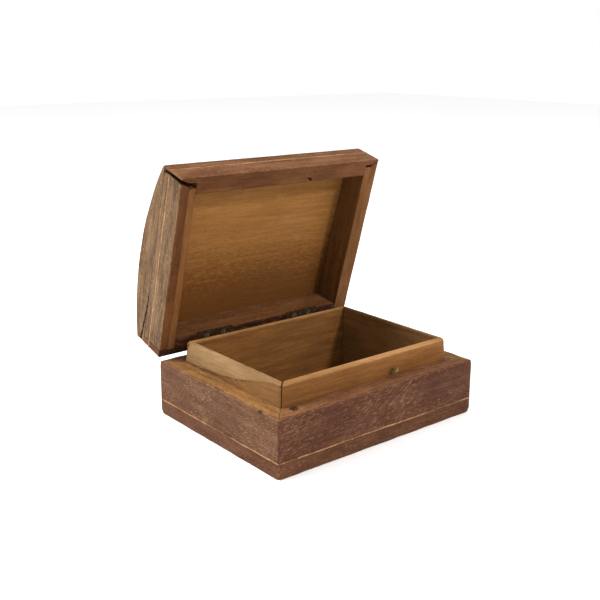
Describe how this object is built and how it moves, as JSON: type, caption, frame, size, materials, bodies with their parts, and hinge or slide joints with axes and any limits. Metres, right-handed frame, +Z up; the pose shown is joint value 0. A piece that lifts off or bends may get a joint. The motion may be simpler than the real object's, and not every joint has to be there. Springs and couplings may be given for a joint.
{
  "type": "puzzle box",
  "caption": "Small wooden box with a raised liner, a domed lid on butt hinges, light string inlay and a sliding front rail that latches on a hidden brad.",
  "frame": {"origin": "centre of the underside of the base", "axes": "+Z up; -Y is the front, where the lid's front rail slides; the hinges are along the back, +Y; X runs along the long side"},
  "size_m": [0.15, 0.144, 0.1538],
  "materials": {
    "wall_wood": "reddish brown hardwood, worn satin finish with short light flecks",
    "plinth_wood": "redder brown hardwood, worn satin finish",
    "lid_wood": "brown hardwood, worn and greyed at the ends",
    "dome_wood": "beech-like board with short dark flecks, greyed outside",
    "lining_wood": "light brown strip, oiled",
    "liner_wood": "pale yellow-brown board, rubbed smooth",
    "bottom_wood": "plain light board, unpolished",
    "light_string": "pale boxwood-like string, rubbed flush",
    "hinge_brass": "dark tarnished brass",
    "hinge_screws": "brass, rubbed bright on the heads",
    "catch_brad": "dull brass",
    "guide_pins": "brass rod"
  },
  "bodies": {
    "base": {"base_bottom_panel": "bottom_wood", "base_front_plinth": "plinth_wood", "base_front_wall": "wall_wood", "base_front_string": "light_string", "base_back_plinth": "plinth_wood", "base_back_wall": "wall_wood", "base_back_string": "light_string", "base_left_plinth": "plinth_wood", "base_left_wall": "wall_wood", "base_left_string": "light_string", "base_right_plinth": "plinth_wood", "base_right_wall": "wall_wood", "base_right_string": "light_string", "liner_front_board": "liner_wood", "liner_back_board": "liner_wood", "liner_left_board": "liner_wood", "liner_right_board": "liner_wood", "catch_brad": "catch_brad", "hinge_left_base_leaf": "hinge_brass", "hinge_right_base_leaf": "hinge_brass", "hinge_left_pin": "hinge_brass", "hinge_right_pin": "hinge_brass", "hinge_base_screws": "hinge_screws"},
    "lid": {"lid_back_rail": "lid_wood", "lid_left_rail": "lid_wood", "lid_right_rail": "lid_wood", "lid_left_lining": "lining_wood", "lid_right_lining": "lining_wood", "lid_dome_board": "dome_wood", "lid_back_string": "light_string", "lid_left_string": "light_string", "lid_right_string": "light_string", "hinge_left_lid_leaf": "hinge_brass", "hinge_right_lid_leaf": "hinge_brass", "hinge_lid_screws": "hinge_screws"},
    "lid_front_rail": {"lid_front_rail": "lid_wood", "lid_front_string": "light_string", "rail_guide_pins": "guide_pins"}
  },
  "joints": [
    {"name": "lid_hinge", "type": "hinge", "parent": "base", "child": "lid", "pos_m": [0, 0.0598, 0.0344], "axis": [-1, 0, 0], "range_deg": [-74, 101]},
    {"name": "front_rail_slide", "type": "slide", "parent": "lid", "child": "lid_front_rail", "axis": [0, -0.2756, 0.9613], "range_m": [0, 0.0015]}
  ]
}
